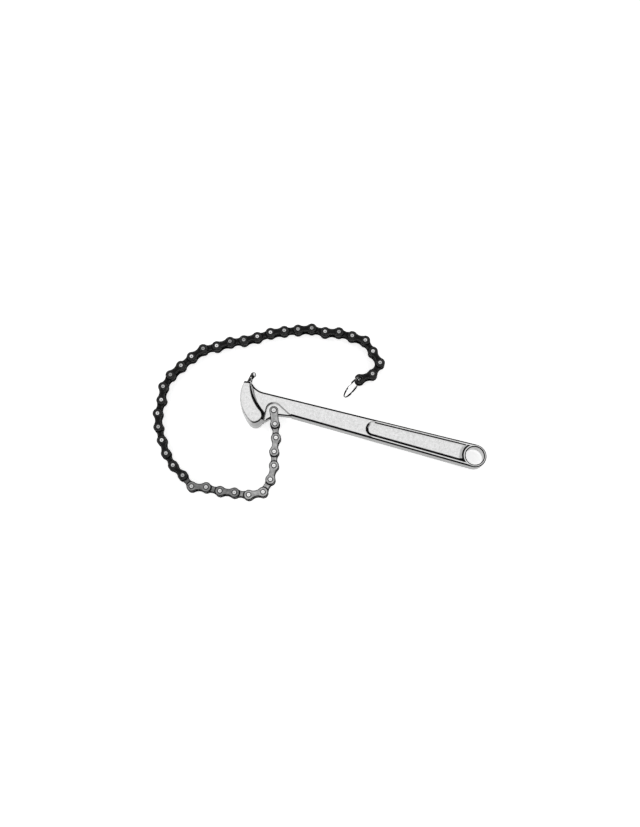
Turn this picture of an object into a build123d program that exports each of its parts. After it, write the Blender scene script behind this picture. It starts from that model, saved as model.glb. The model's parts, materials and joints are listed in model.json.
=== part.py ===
from build123d import *
import math
import os

# Chain oil filter wrench: a forged handle with a claw head, a roller chain on a pivot rivet, and a split ring.
# The origin is the centre of the hanging eye, in the middle of the handle's thickness.
# +X runs along the handle away from the head, and every pin of the chain stands along Z.

# Roller chain
pitch = 12.7
inner_width = 3.4
plate_thickness = 1.1
plate_end_radius = 4.45
plate_waist = 5.2
pin_diameter = 3.6
pin_stand = 0.6
pin_rounding = 0.4
dimple_diameter = 1.6
dimple_depth = 0.4
bush_diameter = 5.1
roller_diameter = 7.75
turning_gap = 0.05
side_gap = 0.1

# How the chain lies: the direction of each link, from the pivot outwards, in degrees from +X
link_headings = [
    -69, -70, -81, -75, -88, -104, -153, -174, -171, -180, -168, 145, 150,
    137, 125, 122, 111, 93, 101, 76, 60, 58, 52, 28, 35, 22,
    30, 34, 24, 21, 20, 0, 14, -2, -5, -42, -45, -108, -143,
]

# Connecting plates and pivot
pivot_x = -182.4
pivot_y = -6.4
rivet_diameter = 4.2
connecting_end_radius = 3.95
connecting_waist = 7.0

# Split ring, standing on edge through the last link
ring_diameter = 23.0
ring_wire = 0.8
ring_heading = -116
ring_lean = 5
ring_seat = 1.0

# Handle
handle_thickness = 11.0
edge_rounding = 1.0
eye_radius = 10.4
eye_bore_radius = 8.0
bore_rounding = 0.6
neck_radius = 7.2
neck_x = -188.0

# Long recess in both faces of the handle
recess_start_x = -92.3
recess_depth = 1.9
recess_rim = 2.2
recess_draft = 52
eye_boss_radius = 10.9

# Head: the upper edge sweeps up to the hook, the lower edge runs round the pivot to the claw pad,
# and both end at a corner that is buried in the pad
sweep_start_x = -196.0
sweep_end = (-208.4, 13.0)
buried_corner = (-211.4, 6.0)
lower_start_x = -166.5
lower_edge = [(-177.0, -9.2), (-183.0, -13.2), (-187.0, -17.5), (-195.0, -20.0)]
lower_edge_rounding = 3.0

# Clearance pocket for the connecting plates, in both faces of the head
pocket_clearance = 3.05
pocket_right_angle = -28
pocket_left_angle = -86

# Claw pad
pad_width = 20.0
pad_draft = 2
pad_rounding = 0.8
pad_top_left = (-214.9, 11.8)
pad_nose = (-214.4, -4.0)
pad_foot_left = (-201.2, -22.9)
pad_shoulder = (-193.0, -11.0)
pad_top_right = (-209.0, 12.7)
pad_root_width = 2.2
pad_root_slope = 45

# Hook finger, which enters the chain between its inner plates
hook_clearance = 0.4
hook_tip = (-209.9, 21.9)
hook_tip_radius = 2.4
hook_tip_left_angle = 170
hook_tip_right_angle = -15
hook_left_foot = (-214.3, 10.0)
hook_neck = (-209.4, 17.0)
hook_rounding = 0.6

# Heights above the middle of the chain
inner_plate_low = inner_width / 2
inner_plate_high = inner_plate_low + plate_thickness
outer_plate_low = inner_plate_high + side_gap
outer_plate_high = outer_plate_low + plate_thickness
pin_high = outer_plate_high + pin_stand
roller_high = inner_width / 2 - side_gap
web_thickness = 2 * inner_plate_high
hook_thickness = inner_width - hook_clearance
ring_lift = ring_diameter / 2 - pad_width / 2
pocket_radius = connecting_end_radius + pocket_clearance


def slab(shape, low, high):
    """A flat sketch given thickness between two heights."""
    return Pos(0, 0, low) * extrude(shape, high - low)


def mirrored(shape):
    """The same solid on the other side of the chain's middle plane."""
    return mirror(shape, about=Plane.XY)


def cylinder_between(x, y, radius, low, high):
    return Pos(x, y, low) * Cylinder(radius, high - low, align=(Align.CENTER, Align.CENTER, Align.MIN))


def link_outline(end_radius, waist):
    """A link plate's outline from x = 0 to x = pitch: two round ends joined by hollow flanks."""
    half = pitch / 2
    waist_radius = (half**2 + (waist / 2) ** 2 - end_radius**2) / (2 * end_radius - waist)
    flank = waist / 2 + waist_radius
    reach = end_radius / (end_radius + waist_radius)
    touch_x = half * reach
    touch_y = flank * reach
    with BuildSketch() as outline:
        with BuildLine():
            ThreePointArc((touch_x, -touch_y), (-end_radius, 0), (touch_x, touch_y))
            ThreePointArc((touch_x, touch_y), (half, waist / 2), (pitch - touch_x, touch_y))
            ThreePointArc((pitch - touch_x, touch_y), (pitch + end_radius, 0), (pitch - touch_x, -touch_y))
            ThreePointArc((pitch - touch_x, -touch_y), (half, -waist / 2), (touch_x, -touch_y))
        make_face()
    return outline.sketch


def link_plate(end_radius, waist, hole_radii, low):
    """One plate of a link, with its two holes, lying above the middle plane."""
    near_hole, far_hole = hole_radii
    face = link_outline(end_radius, waist) - Circle(near_hole) - Pos(pitch, 0) * Circle(far_hole)
    return slab(face, low, low + plate_thickness)


def riveted_pin(diameter):
    """A pin with its two ends set over the outer plates by a punch, which leaves a dimple in each."""
    pin = cylinder_between(0, 0, diameter / 2, -pin_high, pin_high)
    ends = pin.edges().filter_by(GeomType.CIRCLE)
    pin = fillet(ends, pin_rounding)
    dimple = Pos(0, 0, pin_high - dimple_depth / 2) * Cone(0, dimple_diameter / 2, dimple_depth)
    return pin - dimple - mirrored(dimple)


def inner_link():
    """Two plates, two bushes pressed into them and two rollers on the bushes."""
    bush_radius = bush_diameter / 2
    upper = link_plate(plate_end_radius, plate_waist, (bush_radius, bush_radius), inner_plate_low)
    bush_bore = pin_diameter / 2 + turning_gap
    bush = cylinder_between(0, 0, bush_radius, -inner_plate_high, inner_plate_high)
    bush -= cylinder_between(0, 0, bush_bore, -inner_plate_high, inner_plate_high)
    roller = cylinder_between(0, 0, roller_diameter / 2, -roller_high, roller_high)
    roller -= cylinder_between(0, 0, bush_radius + turning_gap, -roller_high, roller_high)
    far_end = Pos(pitch, 0, 0)
    return [upper, mirrored(upper), bush, far_end * bush, roller, far_end * roller]


def end_link():
    """The last outer link: two plates, one pin at their near end, and empty pin holes for the split ring."""
    pin_radius = pin_diameter / 2
    upper = link_plate(plate_end_radius, plate_waist, (pin_radius, pin_radius), outer_plate_low)
    return [upper, mirrored(upper), riveted_pin(pin_diameter)]


def outer_link():
    """Two plates on the outside, and the two pins riveted into them."""
    upper, lower, pin = end_link()
    return [upper, lower, pin, Pos(pitch, 0, 0) * pin]


def connecting_plate():
    """The narrower plate that joins the chain to the handle's web."""
    holes = (rivet_diameter / 2, pin_diameter / 2)
    return link_plate(connecting_end_radius, connecting_waist, holes, outer_plate_low)


def split_ring():
    """Two turns of round wire side by side, standing nearly on edge, with the near side in the last link's holes."""
    coil_radius = (ring_diameter - ring_wire) / 2
    turn = Torus(coil_radius, ring_wire / 2, rotation=(90, 0, 0))
    place = Rot(ring_lean, 0, 0) * Pos(coil_radius - ring_seat, 0, ring_lift)
    return [place * Pos(0, side * ring_wire / 2, 0) * turn for side in (-1, 1)]


def bar_outline():
    """The flat of the handle: tapering bar, eye, upper sweep to the hook, and lower edge round the pivot."""
    taper = (eye_radius - neck_radius) / neck_x
    edge_angle = math.asin(taper)
    eye_upper = (eye_radius * taper, eye_radius * math.cos(edge_angle))
    eye_lower = (eye_upper[0], -eye_upper[1])

    def half_width(x):
        return eye_upper[1] - (x - eye_upper[0]) * math.tan(edge_angle)
    sweep_start = (sweep_start_x, half_width(sweep_start_x))
    turn_start = (lower_start_x, -half_width(lower_start_x))
    with BuildSketch() as outline:
        with BuildLine():
            upper = Line(eye_upper, sweep_start)
            sweep = TangentArc(sweep_start, sweep_end, tangent=upper % 1)
            Polyline(sweep @ 1, buried_corner, lower_edge[-1])
            FilletPolyline([lower_edge[-1]] + lower_edge[-2::-1] + [turn_start, eye_lower], radius=lower_edge_rounding)
            ThreePointArc(eye_lower, (eye_radius, 0), eye_upper)
        make_face()
    return outline.sketch


def pocket_outline():
    """Round the pivot, then straight flanks that leave room for the plates to swing."""
    reach = pocket_radius + pitch + connecting_end_radius

    def flank(angle, side):
        normal = math.radians(angle + side * 90)
        along = math.radians(angle)
        start = (pocket_radius * math.cos(normal), pocket_radius * math.sin(normal))
        end = (start[0] + reach * math.cos(along), start[1] + reach * math.sin(along))
        return start, end

    right_start, right_end = flank(pocket_right_angle, 1)
    left_start, left_end = flank(pocket_left_angle, -1)
    fan = Polygon((0, 0), left_start, left_end, right_end, right_start, align=None)
    return Pos(pivot_x, pivot_y) * (Circle(pocket_radius) + fan)


def pad_outline():
    """A comma: a long round nose on the left, a full foot, and a hollow flank up to the flat top."""
    with BuildSketch() as outline:
        with BuildLine():
            nose = ThreePointArc(pad_top_left, pad_nose, pad_foot_left)
            foot = TangentArc(nose @ 1, pad_shoulder, tangent=nose % 1)
            flank = TangentArc(foot @ 1, pad_top_right, tangent=foot % 1)
            Line(flank @ 1, pad_top_left)
        make_face()
    return outline.sketch


def hook_outline():
    """A finger with a straight back, a round tip, and a hollow flank where a chain pin rests."""
    def on_tip(angle):
        turn = math.radians(angle)
        return (hook_tip[0] + hook_tip_radius * math.cos(turn), hook_tip[1] + hook_tip_radius * math.sin(turn))

    with BuildSketch() as outline:
        with BuildLine():
            back = Line(hook_left_foot, on_tip(hook_tip_left_angle))
            top = on_tip((hook_tip_left_angle + hook_tip_right_angle) / 2)
            tip = ThreePointArc(back @ 1, top, on_tip(hook_tip_right_angle))
            hollow = ThreePointArc(tip @ 1, hook_neck, sweep_end)
            Polyline(hollow @ 1, buried_corner, hook_left_foot)
        make_face()
    return outline.sketch


def claw():
    """The pad and the finger, with the sloped root where the pad rises from the bar's face."""
    half = extrude(pad_outline(), pad_width / 2, taper=pad_draft)
    half = fillet(half.faces().sort_by(Axis.Z)[-1].edges(), pad_rounding)
    finger = slab(hook_outline(), -hook_thickness / 2, hook_thickness / 2)
    finger = fillet(finger.edges().filter_by(Plane.XY), hook_rounding)
    return half + mirrored(half) + finger


def pad_root(face, top):
    """The slope from the bar's upper face to the pad's side, no wider than the bar."""
    foot = offset(pad_outline(), pad_root_width, kind=Kind.INTERSECTION)
    slope = Pos(0, 0, face) * extrude(foot, top - face, taper=pad_root_slope)
    return slope & slab(bar_outline(), face, top)


def recess_cutter():
    """One face's long recess: parallel to the bar's edges, and hollowed round the eye."""
    start_radius = neck_radius + (eye_radius - neck_radius) * (1 - recess_start_x / neck_x) - recess_rim
    rounds = (Pos(recess_start_x, 0) * Circle(start_radius)).edges() + Circle(eye_radius - recess_rim).edges()
    outline = make_hull(rounds) - Circle(eye_boss_radius)
    outline = outline.faces().sort_by(Axis.X)[0]
    return Pos(0, 0, handle_thickness / 2) * extrude(outline, -recess_depth, taper=recess_draft)


def forged_handle():
    half = handle_thickness / 2
    bar = slab(bar_outline(), -half, half)
    rims = bar.edges().filter_by(Plane.XY)
    bar = fillet(rims, edge_rounding)
    bar -= cylinder_between(0, 0, eye_bore_radius, -half, half)
    bore_rims = bar.edges().filter_by(GeomType.CIRCLE).filter_by(lambda e: abs(e.radius - eye_bore_radius) < 0.01)
    bar = fillet(bore_rims, bore_rounding)
    root_top = half + pad_root_width / math.tan(math.radians(pad_root_slope))
    root = pad_root(half, root_top)
    bar += [root, mirrored(root)]
    recess = recess_cutter()
    pocket = slab(pocket_outline(), web_thickness / 2, root_top)
    for hollow in (recess, pocket):
        bar -= [hollow, mirrored(hollow)]
    body = bar + claw()
    return body - cylinder_between(pivot_x, pivot_y, rivet_diameter / 2 + turning_gap, -half, half)


def link_places():
    """Where each link stands: its near pin and its direction."""
    places = []
    x, y = pivot_x, pivot_y
    for heading in link_headings:
        places.append(Location((x, y, 0), (0, 0, heading)))
        x += pitch * math.cos(math.radians(heading))
        y += pitch * math.sin(math.radians(heading))
    places.append(Location((x, y, 0), (0, 0, ring_heading)))
    return places


def write(name, solids):
    shape = solids[0] if len(solids) == 1 else Compound(children=solids)
    export_step(shape, f"parts/{name}.step")


os.makedirs("parts", exist_ok=True)
places = link_places()

write("forged_handle", [forged_handle()])

first = places[0]
plate = connecting_plate()
write("upper_connecting_plate", [first * plate])
write("lower_connecting_plate", [first * mirrored(plate)])
write("pivot_rivet", [first * riveted_pin(rivet_diameter)])
write("connecting_pin", [first * Pos(pitch, 0, 0) * riveted_pin(pin_diameter)])

last = len(link_headings)
for number in range(2, last):
    even = number % 2 == 0
    solids = inner_link() if even else outer_link()
    kind = "inner" if even else "outer"
    write(f"{kind}_link_{number:02d}", [places[number - 1] * solid for solid in solids])

write("end_link", [places[last - 1] * solid for solid in end_link()])
write("split_ring", [places[last] * solid for solid in split_ring()])
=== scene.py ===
import json
import math
from collections import namedtuple

import bpy
from mathutils import Matrix, Vector


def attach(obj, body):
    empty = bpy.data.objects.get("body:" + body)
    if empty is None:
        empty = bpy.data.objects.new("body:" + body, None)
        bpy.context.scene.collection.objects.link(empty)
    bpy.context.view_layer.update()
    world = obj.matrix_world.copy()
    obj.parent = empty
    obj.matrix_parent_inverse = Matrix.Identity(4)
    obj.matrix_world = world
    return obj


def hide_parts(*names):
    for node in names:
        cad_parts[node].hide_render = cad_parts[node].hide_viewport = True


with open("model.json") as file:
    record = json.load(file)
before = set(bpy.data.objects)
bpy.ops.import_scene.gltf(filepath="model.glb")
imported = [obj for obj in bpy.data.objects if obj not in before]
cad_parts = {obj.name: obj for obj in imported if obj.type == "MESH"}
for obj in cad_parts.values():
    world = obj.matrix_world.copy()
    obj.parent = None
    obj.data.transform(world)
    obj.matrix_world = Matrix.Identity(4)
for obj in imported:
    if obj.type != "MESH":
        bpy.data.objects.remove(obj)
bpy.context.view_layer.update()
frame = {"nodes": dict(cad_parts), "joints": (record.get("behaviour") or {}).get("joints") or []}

# Everything is in metres, in the frame of the CAD model: origin at the hanging eye, pins along Z.
MM = 0.001
TURN = 360.0

# Camera, from the pins and the handle of the photograph
CAMERA_PLACE = Vector((-83.2, -212.1, 776.7)) * MM
CAMERA_AIM = Vector((-142.0, 2.7, 0.0)) * MM
SENSOR_WIDTH = 36.0
FOCAL_PIXELS = 900.0
PICTURE_WIDTH = 640.0
CLIP_START = 10.0 * MM

# The level directions that run up and to the right in the picture
AWAY = (-0.264, 0.965, 0.0)
ACROSS = (0.965, 0.264, 0.0)

# The direction along the handle, to its eye
TO_EYE = (1.0, 0.0, 0.0)

# Floor, and the strength that lifts it to white
FLOOR_HEIGHT = -10.0 * MM
FLOOR_SIZE = 6.0
FLOOR_GREY = 0.9
FLOOR_LIFT = 0.56

# Studio dome, tilted towards the camera's side: where its bright part ends, in degrees, and its greys
DOME_TILT = 15.0
DOME_BRIGHT = 49.0
DOME_END = 60.0
DOME_GREY = 1.0
HORIZON_GREY = 0.3

# Key lamp
KEY_PLACE = (-0.75, 0.55, 0.8)
KEY_AIM = (-0.12, 0.0, 0.0)
KEY_SIZE = (0.5, 0.5)
KEY_BRIGHTNESS = 0.8

# Kinds of noise: detail and roughness
FINE = (3.0, 0.6)
SMOOTH = (2.0, 0.5)

# Satin chrome: the scales of its grain and patches, its greys by grain, and its roughness by patch
GRAIN_SCALE = 900.0
CLOUD_SCALE = 420.0
PATCH_SCALE = 60.0
CHROME_GREYS = ((0.36, 0.68), (0.50, 0.77), (0.64, 0.84))
CHROME_ROUGHNESS = (0.20, 0.28)
CHROME_BUMP = 0.25
CHROME_BUMP_DEPTH = 0.1 * MM
CHROME_ROUNDING = 0.3 * MM

# Painted dark reflection, as rough black without metal, on the slopes and lines of the forging and on the
# edges of the link plates
DARK_REFLECTION_GREY = 0.003
DULL_ROUGHNESS = 0.6
DULL_SPECULAR = 0.04

# Side walls of the forging, with a painted reflection of the shaded floor: how level they are, its grey, how
# far they take it, and the painted shade in the bore
WALL_LEVEL = (0.20, 0.05)
WALL_SHADE_GREY = 0.05
WALL_SHADE_SHARE = 0.72
BORE_SHADE = 0.55

# Outline of the bar, with its eye, its recess, and the sweep that carries its upper edge up to the hook
EYE_RADIUS = 10.4 * MM
BORE_RADIUS = 8.0 * MM
NECK_RADIUS = 7.2 * MM
NECK_X = -188.0 * MM
BAR_TAPER = (EYE_RADIUS - NECK_RADIUS) / -NECK_X
LOWER_EDGE_START = -166.5 * MM
RECESS_START = -92.3 * MM
RECESS_END = -9.5 * MM
SWEEP_START = (-196.0 * MM, 7.06 * MM)
SWEEP_END = (-208.4 * MM, 13.0 * MM)
HANDLE_HIGH = 5.6 * MM
PAD_LOW = 7.8 * MM

# Lower edge of the web under the pocket, from right to left
WEB_EDGE = (
    (-166.5 * MM, -7.6 * MM),
    (-177.0 * MM, -9.2 * MM),
    (-183.0 * MM, -13.2 * MM),
    (-187.0 * MM, -17.5 * MM),
)

# Lines of painted dark reflection: their widths, or where they begin and end
LINE_SOFT = 0.08 * MM
LINE_LOW = 4.6 * MM
RIM_LINE = 1.65 * MM
RECESS_RIM_LINE = 1.3 * MM
EYE_LINE = 0.9 * MM
BORE_LINE = 0.95 * MM
RECESS_LINE = (2.3 * MM, 3.2 * MM)
BOSS_LINE = (9.7 * MM, 11.3 * MM)
SWEEP_LINE_END = 11.0 * MM
PAD_TOP = 44.7 * MM
PAD_TOP_SLOPE = 0.153
PAD_LINE = 2.2 * MM
PAD_LINE_LOW = 8.8 * MM
WEB_FACE = 2.6 * MM
WEB_LINE = 1.2 * MM

# Painted dark reflection on slopes: how wide the rims are rounded, how level a slope is at its ends, and the
# pad's lower rim
RIM_BAND = 1.35 * MM
SLOPE_LEVEL = (0.99, 0.955)
STEEP_LEVEL = (0.12, 0.35)
PAD_BAND = 2.8 * MM
PAD_BELOW_TURN = (-0.08, -0.20)

# Slopes that stay bright: lit sides, the recess, the eye and its boss, the pocket, the pad's left and root
LIT_TURN = (-0.48, -0.56)
RECESS_LOW = 4.4 * MM
RECESS_TURN = -0.05
RECESS_RIM = 2.2 * MM
EYE_RIM = (8.95 * MM, 9.5 * MM)
EYE_BOSS_START = -9.0 * MM
EYE_BOSS_REACH = -16.0 * MM
EYE_BOSS_LOW = -5.2 * MM
POCKET_SIDES = (-194.0 * MM, -166.8 * MM)
POCKET_TOP = 1.5 * MM
POCKET_TURN = (0.30, 0.15)
POCKET_SHARE = 0.7
PAD_LEFT_TURN = (-0.18, -0.28)
ROOT_END = -198.0 * MM
ROOT_TAPER = (-6.0 * MM, 10.0 * MM)

# Wall of the recess round the eye
BOSS_WALL = 13.6 * MM
BOSS_DULL = 0.8

# Hook finger: where it begins, and its dark patches
FINGER_START = (-204.0 * MM, 13.5 * MM)
FINGER_PATCH_SCALE = 520.0
FINGER_PATCH_LEVEL = (0.42, 0.49)

# Heights that part the chain's own pieces, above its middle plane
PIN_HEAD_HEIGHT = 4.02 * MM
PIN_DIMPLE_LOW = 4.33 * MM
PIN_DIMPLE_HIGH = 4.55 * MM
ROLLER_HEIGHT = 1.65 * MM

# Link plates, rollers and pin heads: stains as shares of the plate's grey, the worn band with its painted
# highlight, the painted dark reflection on the edges and the painted shade in corners
STAIN_SCALE = 420.0
PLATE_STAINS = ((0.32, 0.7), (0.50, 1.0), (0.70, 1.5))
ROLLER_STAINS = ((0.30, 1.1), (0.70, 2.0))
SHINE_SCALE = 75.0
HEAD_SHINE = (0.38, 0.60)
HEAD_SIDE_LEVEL = (0.87, 0.80)
PLATE_BAND = 1.5 * MM
BAND_TURN = (1.0, 0.90)
WORN_HIGHLIGHT_BAND = (0.0, 0.02)
DARK_BAND = (0.03, 0.11)
CORNER_REACH = 1.2 * MM
PAINTED_CORNER_SHADE = (0.95, 0.75)
STEEL_ROUGHNESS = (-0.05, 0.1)
STEEL_BUMP_SCALE = 1400.0
STEEL_BUMP = 0.15
STEEL_BUMP_DEPTH = 0.05 * MM
STEEL_ROUNDING = 0.18 * MM

# Steels: the greys of the plates, of their worn band with its painted highlight and of their painted dark
# edges, of the pin heads where dark and bright, of the painted shade in the heads' hollows, and the roughness
Steel = namedtuple("Steel", "plate rubbed edge head_dark head_bright hollow roughness")
CONNECTING_STEEL = Steel(0.40, 0.55, 0.01, 0.7, 0.95, 0.8, 0.3)
# The near links' greys are painted light; the far links' are the chain's own black steel
LIT_NEAR_STEEL = Steel(0.37, 0.52, 0.003, 0.9, 1.0, 0.8, 0.28)
FAR_STEEL = Steel(0.012, 0.13, 0.003, 0.32, 0.8, 0.15, 0.28)

# The links, and how the painted light on their steel fades along them to black
LINKS = 39
SHADES = 5
LAST_LIT_LINK = 6
FIRST_BLACK_LINK = 14

# Split ring: its sizes, how it lies in the last link, and where its wire changes turn, with angles in degrees
RING_DIAMETER = 23.0 * MM
RING_WIRE = 0.8 * MM
RING_HEADING = -116.0
RING_LEAN = 5.0
RING_SEAT = 1.0 * MM
RING_LIFT = 1.5 * MM
RING_CROSSING = 75.0
RING_CROSSING_HALF = 14.0
RING_STEPS = 240
WIRE_RESOLUTION = 5

# Ring wire
WIRE_SCALE = 210.0
WIRE_GREYS = ((0.48, 0.02), (0.55, 0.25), (0.62, 0.85))
WIRE_ROUGHNESS = 0.18

# A point on the forging: its place, its height either side, how far it is from the eye and inside the outline
Spot = namedtuple("Spot", "place x y z height from_eye depth")


def empty_material(name):
    """A material with nothing but its output."""
    material = bpy.data.materials.new(name)
    material.use_nodes = True
    tree = material.node_tree
    tree.nodes.clear()
    output = tree.nodes.new("ShaderNodeOutputMaterial")
    return material, tree, output


def new_material(name):
    """A material with its principled shader and its output."""
    material, tree, output = empty_material(name)
    shader = tree.nodes.new("ShaderNodeBsdfPrincipled")
    tree.links.new(shader.outputs[0], output.inputs["Surface"])
    return material, tree, shader


def node(tree, kind, inputs=None, **settings):
    """A shader node with its settings and inputs; an input that is a socket is linked."""
    made = tree.nodes.new(kind)
    for key, value in settings.items():
        setattr(made, key, value)
    for key, value in (inputs or {}).items():
        if isinstance(value, bpy.types.NodeSocket):
            tree.links.new(value, made.inputs[key])
        else:
            made.inputs[key].default_value = value
    return made


def grey(value):
    return (value, value, value, 1.0)


def ramp(tree, factor, stops):
    """A colour ramp in greys: each stop is a place and a grey."""
    made = node(tree, "ShaderNodeValToRGB", {"Fac": factor})
    elements = made.color_ramp.elements
    while len(elements) < len(stops):
        elements.new(0.5)
    for element, (place, shade) in zip(elements, stops):
        element.position = place
        element.color = grey(shade)
    return made.outputs["Color"]


def noise(tree, place, scale, kind):
    """Noise of a scale and a kind, as a number from 0 to 1."""
    detail, roughness = kind
    made = node(tree, "ShaderNodeTexNoise", {"Vector": place, "Scale": scale, "Detail": detail,
                                             "Roughness": roughness})
    return made.outputs["Fac"]


def maths(tree, operation, first, second=0.0):
    """One step of arithmetic on two numbers."""
    return node(tree, "ShaderNodeMath", {0: first, 1: second}, operation=operation).outputs[0]


def mix(tree, factor, first, second):
    """A blend of two colours: the first at a factor of 0, the second at 1."""
    return node(tree, "ShaderNodeMix", {0: factor, 6: first, 7: second}, data_type="RGBA").outputs[2]


def map_range(tree, value, low, high, to_low=0.0, to_high=1.0, smooth=False):
    """A number that runs from one end to the other as the value goes from low to high."""
    made = node(tree, "ShaderNodeMapRange", {"Value": value, "From Min": low, "From Max": high,
                                             "To Min": to_low, "To Max": to_high})
    if smooth:
        made.interpolation_type = "SMOOTHSTEP"
    return made.outputs[0]


def dot(tree, first, second):
    """How far two directions agree."""
    made = node(tree, "ShaderNodeVectorMath", {0: first, 1: second}, operation="DOT_PRODUCT")
    return made.outputs["Value"]


def split(tree, vector):
    """The three parts of a vector."""
    return node(tree, "ShaderNodeSeparateXYZ", {0: vector}).outputs


def rounding(tree, radius, samples=8):
    """The normal, rounded over sharp edges."""
    return node(tree, "ShaderNodeBevel", {"Radius": radius}, samples=samples).outputs[0]


def rounded_normal(tree, radius):
    """The rounded normal, in the object's own directions."""
    return node(tree, "ShaderNodeVectorTransform", {0: rounding(tree, radius)}, vector_type="NORMAL",
                convert_from="WORLD", convert_to="OBJECT").outputs[0]


def edge_band(tree, radius):
    """A mask that grows from 0 inside a face to 1 along its edges."""
    flat = node(tree, "ShaderNodeNewGeometry").outputs["Normal"]
    return map_range(tree, dot(tree, rounding(tree, radius), flat), *BAND_TURN)


def levelness(tree):
    """How level the surface lies: 1 on a face, 0 on a wall."""
    normal = node(tree, "ShaderNodeTexCoord").outputs["Normal"]
    return maths(tree, "ABSOLUTE", split(tree, normal)["Z"])


def within(tree, value, low, high, soft):
    """A mask that is 1 from low to high, with soft ends."""
    return maths(tree, "MULTIPLY", map_range(tree, value, low - soft, low + soft),
                 map_range(tree, value, high + soft, high - soft))


def both(tree, *masks):
    """The product of several masks: 1 where all of them are 1."""
    made = masks[0]
    for mask in masks[1:]:
        made = maths(tree, "MULTIPLY", made, mask)
    return made


def either(tree, *masks):
    """The highest of several masks: 1 where any of them is 1."""
    made = masks[0]
    for mask in masks[1:]:
        made = maths(tree, "MAXIMUM", made, mask)
    return made


def without(tree, mask, hole):
    """A mask with another mask taken out of it."""
    return maths(tree, "MULTIPLY", mask, maths(tree, "SUBTRACT", 1.0, hole))


def above(tree, value, limit):
    """A mask that is 1 over a limit."""
    return maths(tree, "GREATER_THAN", value, limit)


def below(tree, value, limit):
    """A mask that is 1 under a limit."""
    return maths(tree, "LESS_THAN", value, limit)


def distance(tree, x, y, centre):
    """How far a point lies from an upright axis through a centre."""
    across = maths(tree, "POWER", maths(tree, "SUBTRACT", x, centre[0]), 2.0)
    along = maths(tree, "POWER", maths(tree, "SUBTRACT", y, centre[1]), 2.0)
    return maths(tree, "POWER", maths(tree, "ADD", across, along), 0.5)


def rim_depth(tree, x, y, from_eye):
    """How far inside the bar's outline a point lies."""
    from_axis = maths(tree, "SUBTRACT", maths(tree, "ABSOLUTE", y), maths(tree, "MULTIPLY", x, BAR_TAPER))
    reach = node(tree, "ShaderNodeMix", {0: above(tree, x, 0.0), 2: from_axis, 3: from_eye}).outputs[0]
    return maths(tree, "SUBTRACT", EYE_RADIUS, reach)


def forging_spot(tree):
    """The point of the forging that is shaded."""
    place = node(tree, "ShaderNodeTexCoord").outputs["Object"]
    x, y, z = split(tree, place)
    from_eye = distance(tree, x, y, (0.0, 0.0))
    depth = rim_depth(tree, x, y, from_eye)
    return Spot(place, x, y, z, maths(tree, "ABSOLUTE", z), from_eye, depth)


def bright_slopes(tree, spot, soft, turned):
    """A mask for the slopes of the forging that stay bright."""
    upper_half = both(tree, above(tree, spot.y, 0.0), below(tree, spot.x, EYE_BOSS_START))
    recess_low = both(tree, below(tree, spot.height, RECESS_LOW), below(tree, turned, RECESS_TURN))
    lit = both(tree, upper_half, either(tree, map_range(tree, turned, *LIT_TURN), recess_low))
    eye_rim = within(tree, spot.from_eye, *EYE_RIM, LINE_SOFT)
    eye_boss = both(tree, above(tree, spot.from_eye, BOSS_LINE[1]), above(tree, spot.x, EYE_BOSS_REACH),
                    above(tree, spot.y, EYE_BOSS_LOW))
    recess_rim = both(tree, within(tree, spot.depth, RECESS_RIM_LINE, RECESS_RIM, LINE_SOFT),
                      above(tree, spot.x, RECESS_START), below(tree, spot.x, RECESS_END),
                      below(tree, spot.y, 0.0))
    to_eye = dot(tree, soft, TO_EYE)
    pocket = both(tree, above(tree, spot.x, POCKET_SIDES[0]), below(tree, spot.x, POCKET_SIDES[1]),
                  below(tree, spot.y, POCKET_TOP), below(tree, spot.height, PAD_LOW),
                  map_range(tree, to_eye, *POCKET_TURN, 0.0, POCKET_SHARE))
    pad_left = both(tree, above(tree, spot.height, PAD_LOW),
                    map_range(tree, dot(tree, soft, ACROSS), *PAD_LEFT_TURN))
    taper = map_range(tree, spot.y, *ROOT_TAPER, HANDLE_HIGH, PAD_LOW)
    root = both(tree, below(tree, spot.x, ROOT_END), above(tree, spot.height, HANDLE_HIGH),
                below(tree, spot.height, taper))
    return either(tree, lit, eye_rim, eye_boss, recess_rim, pocket, pad_left, root)


def dark_reflection_slopes(tree, spot):
    """A mask for the painted dark reflection on the forging: rims, fillets, and slopes that turn from the key
    lamp.
    """
    soft = rounded_normal(tree, RIM_BAND)
    level = maths(tree, "ABSOLUTE", split(tree, soft)["Z"])
    turned = dot(tree, soft, AWAY)
    wide_turned = dot(tree, rounded_normal(tree, PAD_BAND), AWAY)
    pad_below = both(tree, above(tree, spot.z, PAD_LOW), map_range(tree, wide_turned, *PAD_BELOW_TURN))
    sloped = both(tree, either(tree, map_range(tree, level, *SLOPE_LEVEL), pad_below),
                  map_range(tree, level, *STEEP_LEVEL))
    return without(tree, sloped, bright_slopes(tree, spot, soft, turned))


def sweep_arc():
    """The centre and the radius of the arc that carries the bar's upper edge up to the hook."""
    edge = Vector((-1.0, -BAR_TAPER)).normalized()
    inward = Vector((edge.y, -edge.x))
    chord = Vector(SWEEP_END) - Vector(SWEEP_START)
    radius = chord.length_squared / (2 * chord.dot(inward))
    return Vector(SWEEP_START) + inward * radius, radius


def web_line(tree, spot):
    """A mask for the painted dark reflection line along the web's lower edge, which begins a little outside
    it.
    """
    depths = []
    for right, left in zip(WEB_EDGE, WEB_EDGE[1:]):
        along = (Vector(left) - Vector(right)).normalized()
        inward = Vector((along.y, -along.x, 0.0))
        edge = inward.to_2d().dot(Vector(right))
        depths.append(maths(tree, "SUBTRACT", dot(tree, spot.place, inward), edge))
    line = within(tree, either(tree, *depths), -0.5 * WEB_LINE, WEB_LINE, LINE_SOFT)
    return both(tree, line, above(tree, spot.x, WEB_EDGE[-1][0]), below(tree, spot.x, POCKET_SIDES[1]),
                above(tree, spot.height, WEB_FACE), below(tree, spot.height, LINE_LOW))


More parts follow.
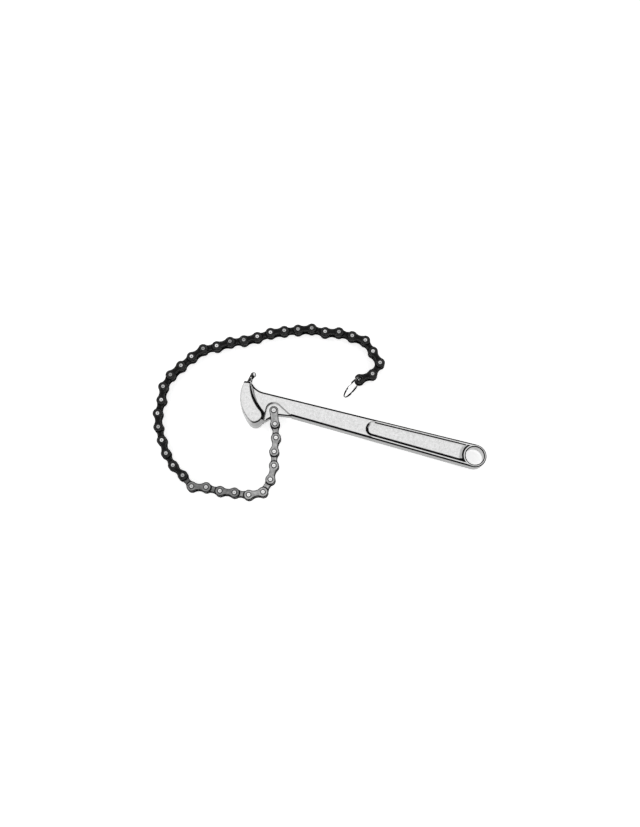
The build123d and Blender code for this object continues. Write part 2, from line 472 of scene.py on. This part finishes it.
def dark_reflection_lines(tree, spot):
    """A mask for the painted dark reflection lines along the bar, the recess, the bore, the web and the pad's
    top.
    """
    upper = above(tree, spot.y, 0.0)
    along_bar = either(tree, above(tree, spot.x, LOWER_EDGE_START),
                       both(tree, upper, above(tree, spot.x, SWEEP_START[0])))
    by_recess = map_range(tree, spot.x, RECESS_START, RECESS_START + RIM_LINE, RIM_LINE, RECESS_RIM_LINE)
    by_eye = map_range(tree, spot.x, EYE_BOSS_START, 0.0, RIM_LINE, EYE_LINE)
    past_line = maths(tree, "SUBTRACT", spot.depth, maths(tree, "MINIMUM", by_recess, by_eye))
    rim = both(tree, map_range(tree, past_line, LINE_SOFT, -LINE_SOFT), along_bar)
    recess = both(tree, within(tree, spot.x, RECESS_START, RECESS_END, LINE_SOFT), upper,
                  within(tree, spot.depth, *RECESS_LINE, LINE_SOFT))
    boss = both(tree, within(tree, spot.from_eye, *BOSS_LINE, LINE_SOFT), above(tree, spot.depth, RECESS_RIM),
                below(tree, spot.x, 0.0))
    bore_end = BORE_RADIUS + BORE_LINE
    bore = map_range(tree, spot.from_eye, bore_end + LINE_SOFT, bore_end - LINE_SOFT)
    centre, radius = sweep_arc()
    sweep = both(tree, below(tree, distance(tree, spot.x, spot.y, centre), radius + RIM_LINE),
                 below(tree, spot.x, SWEEP_START[0]), below(tree, spot.y, SWEEP_LINE_END),
                 below(tree, spot.height, PAD_LOW))
    flat = both(tree, either(tree, rim, recess, boss, bore, sweep), above(tree, spot.height, LINE_LOW))
    along_top = maths(tree, "SUBTRACT", spot.y, maths(tree, "MULTIPLY", spot.x, PAD_TOP_SLOPE))
    pad_top = both(tree, above(tree, along_top, PAD_TOP - PAD_LINE), above(tree, spot.height, PAD_LINE_LOW))
    return either(tree, flat, pad_top, web_line(tree, spot))


def finger_patches(tree, spot):
    """A mask for random dark patches on the hook finger."""
    patches = map_range(tree, noise(tree, spot.place, FINGER_PATCH_SCALE, SMOOTH), *FINGER_PATCH_LEVEL)
    return both(tree, above(tree, spot.y, FINGER_START[1]), below(tree, spot.x, FINGER_START[0]), patches)


def add_bump(tree, shader, height, strength, depth, rounded):
    """A bump over the rounded normal."""
    bump = node(tree, "ShaderNodeBump", {"Height": height, "Strength": strength, "Distance": depth,
                                         "Normal": rounded})
    tree.links.new(bump.outputs[0], shader.inputs["Normal"])


def add_metal(tree, shader, colour, roughness, painted_dark, matt):
    """Bright metal of a colour and a roughness, rough where it is painted dark, and no metal where it is
    matt.
    """
    tree.links.new(colour, shader.inputs["Base Color"])
    tree.links.new(maths(tree, "SUBTRACT", 1.0, matt), shader.inputs["Metallic"])
    rough = either(tree, roughness, maths(tree, "MULTIPLY", painted_dark, DULL_ROUGHNESS))
    tree.links.new(rough, shader.inputs["Roughness"])
    shader.inputs["Specular IOR Level"].default_value = DULL_SPECULAR


def satin_chrome():
    """Satin chrome over a forged skin: a fine pebbled grain, painted dark reflection on rims and slopes, and
    side walls greyed by a painted reflection of the shaded floor.
    """
    material, tree, shader = new_material("satin_chrome")
    spot = forging_spot(tree)
    grain = noise(tree, spot.place, GRAIN_SCALE, FINE)
    cloud = noise(tree, spot.place, CLOUD_SCALE, SMOOTH)
    patches = noise(tree, spot.place, PATCH_SCALE, SMOOTH)
    blend = maths(tree, "ADD", maths(tree, "MULTIPLY", cloud, 0.5), maths(tree, "MULTIPLY", grain, 0.5))
    chrome = ramp(tree, blend, CHROME_GREYS)

    # Side walls take a painted reflection of the shaded floor, and the bore a painted shade
    in_bore = below(tree, spot.from_eye, BORE_RADIUS + LINE_SOFT)
    wall_shade = both(tree, map_range(tree, levelness(tree), *WALL_LEVEL),
                map_range(tree, in_bore, 0.0, 1.0, 1.0, BORE_SHADE))
    colour = mix(tree, wall_shade, chrome, mix(tree, WALL_SHADE_SHARE, chrome, grey(WALL_SHADE_GREY)))
    # Painted dark reflection on the slopes and lines, with the finger's dark patches, as rough black without
    # metal
    painted_dark = either(tree, dark_reflection_slopes(tree, spot), finger_patches(tree, spot), dark_reflection_lines(tree, spot))
    colour = mix(tree, painted_dark, colour, grey(DARK_REFLECTION_GREY))

    boss_wall = both(tree, within(tree, spot.from_eye, BOSS_LINE[1], BOSS_WALL, LINE_SOFT),
                     below(tree, spot.x, 0.0), above(tree, spot.depth, RECESS_RIM),
                     above(tree, spot.y, EYE_BOSS_LOW))
    matt = either(tree, painted_dark, maths(tree, "MULTIPLY", boss_wall, BOSS_DULL))
    satin = map_range(tree, patches, 0.0, 1.0, *CHROME_ROUGHNESS)
    add_metal(tree, shader, colour, satin, painted_dark, matt)
    add_bump(tree, shader, blend, CHROME_BUMP, CHROME_BUMP_DEPTH, rounding(tree, CHROME_ROUNDING))
    return material


def chain_steel(name, steel):
    """Chain steel: oiled plates with a worn band and painted highlight inside painted dark edges and corner
    shade, bright heads with painted shade on their sides and hollows, and worn rollers.
    """
    material, tree, shader = new_material(name)
    place = node(tree, "ShaderNodeTexCoord").outputs["Object"]
    height = maths(tree, "ABSOLUTE", split(tree, place)["Z"])
    on_head = above(tree, height, PIN_HEAD_HEIGHT)
    on_roller = below(tree, height, ROLLER_HEIGHT)
    stain = noise(tree, place, STAIN_SCALE, FINE)
    shine = noise(tree, place, SHINE_SCALE, SMOOTH)
    edge = grey(steel.edge)

    plate = ramp(tree, stain, [(level, steel.plate * share) for level, share in PLATE_STAINS])
    band = edge_band(tree, PLATE_BAND)
    # A worn band inside the edges, lighter as a painted highlight
    rubbed = map_range(tree, band, *WORN_HIGHLIGHT_BAND)
    # Painted dark reflection along the plates' edges, and painted shade in the corners by other pieces
    corner_shade = node(tree, "ShaderNodeAmbientOcclusion", {"Distance": CORNER_REACH}, samples=8).outputs["AO"]
    dark = either(tree, map_range(tree, band, *DARK_BAND), map_range(tree, corner_shade, *PAINTED_CORNER_SHADE))
    plate = mix(tree, dark, mix(tree, rubbed, plate, grey(steel.rubbed)), edge)

    head = ramp(tree, shine, list(zip(HEAD_SHINE, (steel.head_dark, steel.head_bright))))
    # Painted shade in the pin heads' hollows and on their sides
    in_hollow = map_range(tree, height, PIN_DIMPLE_HIGH, PIN_DIMPLE_LOW)
    head_side_shade = map_range(tree, levelness(tree), *HEAD_SIDE_LEVEL)
    head = mix(tree, head_side_shade, mix(tree, in_hollow, head, grey(steel.hollow)), edge)

    roller = ramp(tree, stain, [(level, steel.plate * share) for level, share in ROLLER_STAINS])
    colour = mix(tree, on_roller, mix(tree, on_head, plate, head), roller)
    matt = either(tree, without(tree, dark, on_head), both(tree, head_side_shade, on_head))
    matt = without(tree, matt, on_roller)
    smooth, worn = STEEL_ROUGHNESS
    oiled = map_range(tree, stain, 0.0, 1.0, steel.roughness + smooth, steel.roughness + worn)
    add_metal(tree, shader, colour, oiled, matt, matt)
    fine = noise(tree, place, STEEL_BUMP_SCALE, FINE)
    add_bump(tree, shader, fine, STEEL_BUMP, STEEL_BUMP_DEPTH, rounding(tree, STEEL_ROUNDING, samples=6))
    return material


def ring_wire():
    """Bright drawn wire with dark streaks."""
    material, tree, shader = new_material("bright_wire")
    place = node(tree, "ShaderNodeTexCoord").outputs["Object"]
    streak = noise(tree, place, WIRE_SCALE, FINE)
    tree.links.new(ramp(tree, streak, WIRE_GREYS), shader.inputs["Base Color"])
    shader.inputs["Roughness"].default_value = WIRE_ROUGHNESS
    shader.inputs["Metallic"].default_value = 1.0
    return material


def floor_material():
    """A white floor: lit like paper, and lifted to white where the camera or a reflection sees it."""
    material, tree, output = empty_material("white_floor")
    paper = node(tree, "ShaderNodeBsdfDiffuse", {"Color": grey(FLOOR_GREY)})
    rays = node(tree, "ShaderNodeLightPath").outputs
    seen = either(tree, rays["Is Camera Ray"], rays["Is Glossy Ray"], rays["Is Transmission Ray"])
    lift = maths(tree, "MULTIPLY", seen, FLOOR_LIFT)
    glow = node(tree, "ShaderNodeEmission", {"Color": grey(1.0), "Strength": lift})
    lifted = node(tree, "ShaderNodeAddShader", {0: paper.outputs[0], 1: glow.outputs[0]})
    tree.links.new(lifted.outputs[0], output.inputs["Surface"])
    return material


def add_floor():
    """The floor, level with the lower face of the pad."""
    bpy.ops.mesh.primitive_plane_add(size=FLOOR_SIZE, location=(0.0, 0.0, FLOOR_HEIGHT))
    floor = bpy.context.object
    floor.name = "floor"
    floor.data.materials.append(floor_material())


def add_world():
    """A soft white dome over a dim horizon, so that turned edges of the metal draw dark lines."""
    world = bpy.data.worlds.new("studio")
    bpy.context.scene.world = world
    world.use_nodes = True
    tree = world.node_tree
    tree.nodes.clear()
    output = tree.nodes.new("ShaderNodeOutputWorld")
    direction = node(tree, "ShaderNodeTexCoord").outputs["Generated"]
    tilt = math.radians(DOME_TILT)
    axis = (-AWAY[0] * math.sin(tilt), -AWAY[1] * math.sin(tilt), math.cos(tilt))
    dome_end = math.cos(math.radians(DOME_END))
    dome_bright = math.cos(math.radians(DOME_BRIGHT))
    bright = map_range(tree, dot(tree, direction, axis), dome_end, dome_bright, smooth=True)
    dome = mix(tree, bright, grey(HORIZON_GREY), grey(DOME_GREY))
    rays = node(tree, "ShaderNodeLightPath").outputs
    colour = mix(tree, rays["Is Camera Ray"], dome, grey(1.0))
    background = node(tree, "ShaderNodeBackground", {"Color": colour, "Strength": 1.0})
    tree.links.new(background.outputs[0], output.inputs["Surface"])


def turned_from(place, aim):
    """The rotation that points a camera or a lamp from a place at an aim."""
    return (Vector(aim) - Vector(place)).to_track_quat("-Z", "Y").to_euler()


def add_lamp(name, place, aim, size, brightness):
    """A flat soft lamp; a brightness of 1 is as bright as the dome at its brightest."""
    data = bpy.data.lights.new(name, "AREA")
    data.shape = "RECTANGLE"
    data.size, data.size_y = size
    data.energy = brightness * math.pi * size[0] * size[1]
    lamp = bpy.data.objects.new(name, data)
    lamp.location = place
    lamp.rotation_euler = turned_from(place, aim)
    bpy.context.scene.collection.objects.link(lamp)


def add_camera():
    """The camera, at the photograph's viewing angle."""
    data = bpy.data.cameras.new("camera")
    data.sensor_fit = "HORIZONTAL"
    data.sensor_width = SENSOR_WIDTH
    data.lens = FOCAL_PIXELS * SENSOR_WIDTH / PICTURE_WIDTH
    data.clip_start = CLIP_START
    camera = bpy.data.objects.new("camera", data)
    camera.location = CAMERA_PLACE
    camera.rotation_euler = turned_from(CAMERA_PLACE, CAMERA_AIM)
    bpy.context.scene.collection.objects.link(camera)
    bpy.context.scene.camera = camera


def dress(node_name, material):
    """Gives a CAD node its finish."""
    for slot in frame["nodes"][node_name].material_slots:
        slot.material = material


def link_nodes():
    """Every link's node, with its number along the chain."""
    found = [(LINKS, "end_link")]
    for name in frame["nodes"]:
        if name.startswith(("inner_link_", "outer_link_")):
            found.append((int(name[-2:]), name))
    return sorted(found)


def link_shade(number):
    """The step of the painted light on a link's steel, from lit mid grey by the handle to black further on.
    """
    share = (number - LAST_LIT_LINK) / (FIRST_BLACK_LINK - LAST_LIT_LINK)
    return round(min(max(share, 0.0), 1.0) * (SHADES - 1))


def shaded_steel(step):
    """The steel at a step of the way from the near links' painted light to the far links' black."""
    share = step / (SHADES - 1)
    return Steel(*(near * (1 - share) + far * share for near, far in zip(LIT_NEAR_STEEL, FAR_STEEL)))


def dress_chain():
    """Gives the connecting pieces and every link their finish, with painted light on the links by the handle
    that fades along the chain.
    """
    connecting = chain_steel("connecting_steel", CONNECTING_STEEL)
    for name in ("upper_connecting_plate", "lower_connecting_plate", "connecting_pin", "pivot_rivet"):
        dress(name, connecting)
    # Lit and shaded copies of the chain steel: painted light that fades along the links
    painted_light_steels = [chain_steel(f"chain_steel_{step}", shaded_steel(step)) for step in range(SHADES)]
    for number, name in link_nodes():
        dress(name, painted_light_steels[link_shade(number)])


def split_ring():
    """One wire wound twice, with its two cut ends either side of the place where it changes turn."""
    joint = next(j for j in frame["joints"] if j["name"] == "ring_swing")
    coil_radius = (RING_DIAMETER - RING_WIRE) / 2
    place = (Matrix.Translation(joint["pos_m"])
             @ Matrix.Rotation(math.radians(RING_HEADING), 4, "Z")
             @ Matrix.Rotation(math.radians(RING_LEAN), 4, "X")
             @ Matrix.Translation((coil_radius - RING_SEAT, 0.0, RING_LIFT)))
    first = RING_CROSSING + RING_CROSSING_HALF
    last = RING_CROSSING - RING_CROSSING_HALF + 2 * TURN
    data = bpy.data.curves.new("split_ring_wire", "CURVE")
    data.dimensions = "3D"
    data.bevel_depth = RING_WIRE / 2
    data.bevel_resolution = WIRE_RESOLUTION
    data.use_fill_caps = True
    wire = data.splines.new("POLY")
    wire.points.add(RING_STEPS)
    for step, point in enumerate(wire.points):
        angle = first + (last - first) * step / RING_STEPS
        past = (angle - TURN - RING_CROSSING) / RING_CROSSING_HALF
        share = min(max((past + 1) / 2, 0.0), 1.0)
        share = share * share * (3 - 2 * share)
        across = coil_radius * math.cos(math.radians(angle))
        up = coil_radius * math.sin(math.radians(angle))
        point.co = (*(place @ Vector((across, RING_WIRE * (share - 0.5), up))), 1.0)
    ring = bpy.data.objects.new("split_ring_wire", data)
    bpy.context.scene.collection.objects.link(ring)
    data.materials.append(ring_wire())
    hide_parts("split_ring")
    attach(ring, "ring")


bpy.context.scene.view_settings.view_transform = "Standard"
add_camera()
add_world()
add_lamp("key", KEY_PLACE, KEY_AIM, KEY_SIZE, KEY_BRIGHTNESS)
add_floor()
dress("forged_handle", satin_chrome())
dress_chain()
split_ring()
